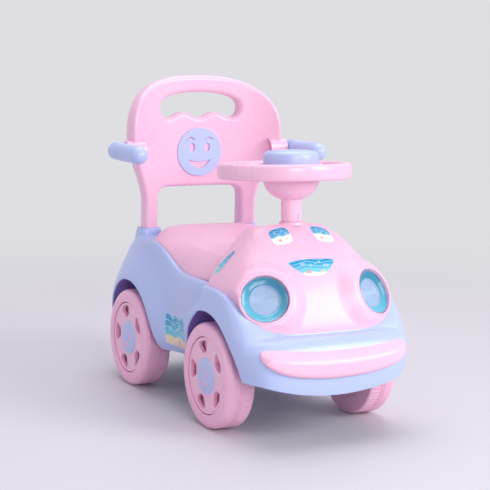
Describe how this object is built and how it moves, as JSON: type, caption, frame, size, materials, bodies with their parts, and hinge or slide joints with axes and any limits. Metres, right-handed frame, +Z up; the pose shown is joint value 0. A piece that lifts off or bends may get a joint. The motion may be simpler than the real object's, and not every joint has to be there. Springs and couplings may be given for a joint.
{
  "type": "kids push car",
  "caption": "Ride-on push car for a toddler, with a lidded storage bin under the seat, a raised back, a turning steering wheel with a horn pad, and free-rolling wheels.",
  "frame": {"origin": "on the floor, under the middle of the car", "axes": "+Z up, the nose points along -Y, +X is to the left of a child who sits in the car"},
  "size_m": [0.346, 0.5597, 0.497],
  "materials": {
    "pink": "injection-moulded polypropylene, glossy light pink",
    "blue": "injection-moulded polypropylene, glossy lavender blue",
    "reflector": "glossy teal behind the lens",
    "lens": "clear moulded plastic with concentric rings",
    "steel": "zinc-plated steel",
    "bush": "dark acetal"
  },
  "bodies": {
    "car": {"body_shell": "blue", "hood": "pink", "bumper": "pink", "headlight_cup_left": "reflector", "headlight_cup_right": "reflector", "headlight_lens_left": "lens", "headlight_lens_right": "lens", "backrest": "pink", "face_badge": "blue", "handle_left": "blue", "handle_right": "blue", "seat_hinge_pin": "steel", "upper_bush": "bush", "lower_bush": "bush", "front_axle": "steel", "rear_axle": "steel", "axle_nut_front_left": "steel", "axle_nut_front_right": "steel", "axle_nut_rear_left": "steel", "axle_nut_rear_right": "steel", "spacer_front_left": "bush", "spacer_front_right": "bush", "spacer_rear_left": "bush", "spacer_rear_right": "bush", "hood_screw_front_left": "steel", "hood_screw_front_right": "steel", "hood_screw_rear_left": "steel", "hood_screw_rear_right": "steel"},
    "seat": {"seat_lid": "pink"},
    "steering": {"steering_wheel": "pink", "steering_shaft": "steel", "shaft_clip": "steel", "horn_spring": "steel"},
    "horn": {"horn_pad": "blue"},
    "wheel_front_left": {"tyre_front_left": "pink", "rim_front_left": "pink", "hub_cap_front_left": "blue"},
    "wheel_front_right": {"tyre_front_right": "pink", "rim_front_right": "pink", "hub_cap_front_right": "blue"},
    "wheel_rear_left": {"tyre_rear_left": "pink", "rim_rear_left": "pink", "hub_cap_rear_left": "blue"},
    "wheel_rear_right": {"tyre_rear_right": "pink", "rim_rear_right": "pink", "hub_cap_rear_right": "blue"}
  },
  "joints": [
    {"name": "wheel_spin_front_left", "type": "hinge", "parent": "car", "child": "wheel_front_left", "pos_m": [0.119, -0.1288, 0.0775], "axis": [1, 0, 0], "continuous": true},
    {"name": "wheel_spin_front_right", "type": "hinge", "parent": "car", "child": "wheel_front_right", "pos_m": [-0.119, -0.1288, 0.0775], "axis": [1, 0, 0], "continuous": true},
    {"name": "wheel_spin_rear_left", "type": "hinge", "parent": "car", "child": "wheel_rear_left", "pos_m": [0.119, 0.1582, 0.0775], "axis": [1, 0, 0], "continuous": true},
    {"name": "wheel_spin_rear_right", "type": "hinge", "parent": "car", "child": "wheel_rear_right", "pos_m": [-0.119, 0.1582, 0.0775], "axis": [1, 0, 0], "continuous": true},
    {"name": "steering_turn", "type": "hinge", "parent": "car", "child": "steering", "pos_m": [0, -0.1222, 0.295], "axis": [0, 0.061, 0.9981], "continuous": true},
    {"name": "horn_press", "type": "slide", "parent": "steering", "child": "horn", "axis": [0, -0.061, -0.9981], "range_m": [0, 0.003], "stiffness_N_per_m": 300, "deforming": ["horn_spring"]},
    {"name": "seat_lid_hinge", "type": "hinge", "parent": "car", "child": "seat", "pos_m": [0, -0.0842, 0.2335], "axis": [1, 0, 0], "range_deg": [0, 45]}
  ]
}
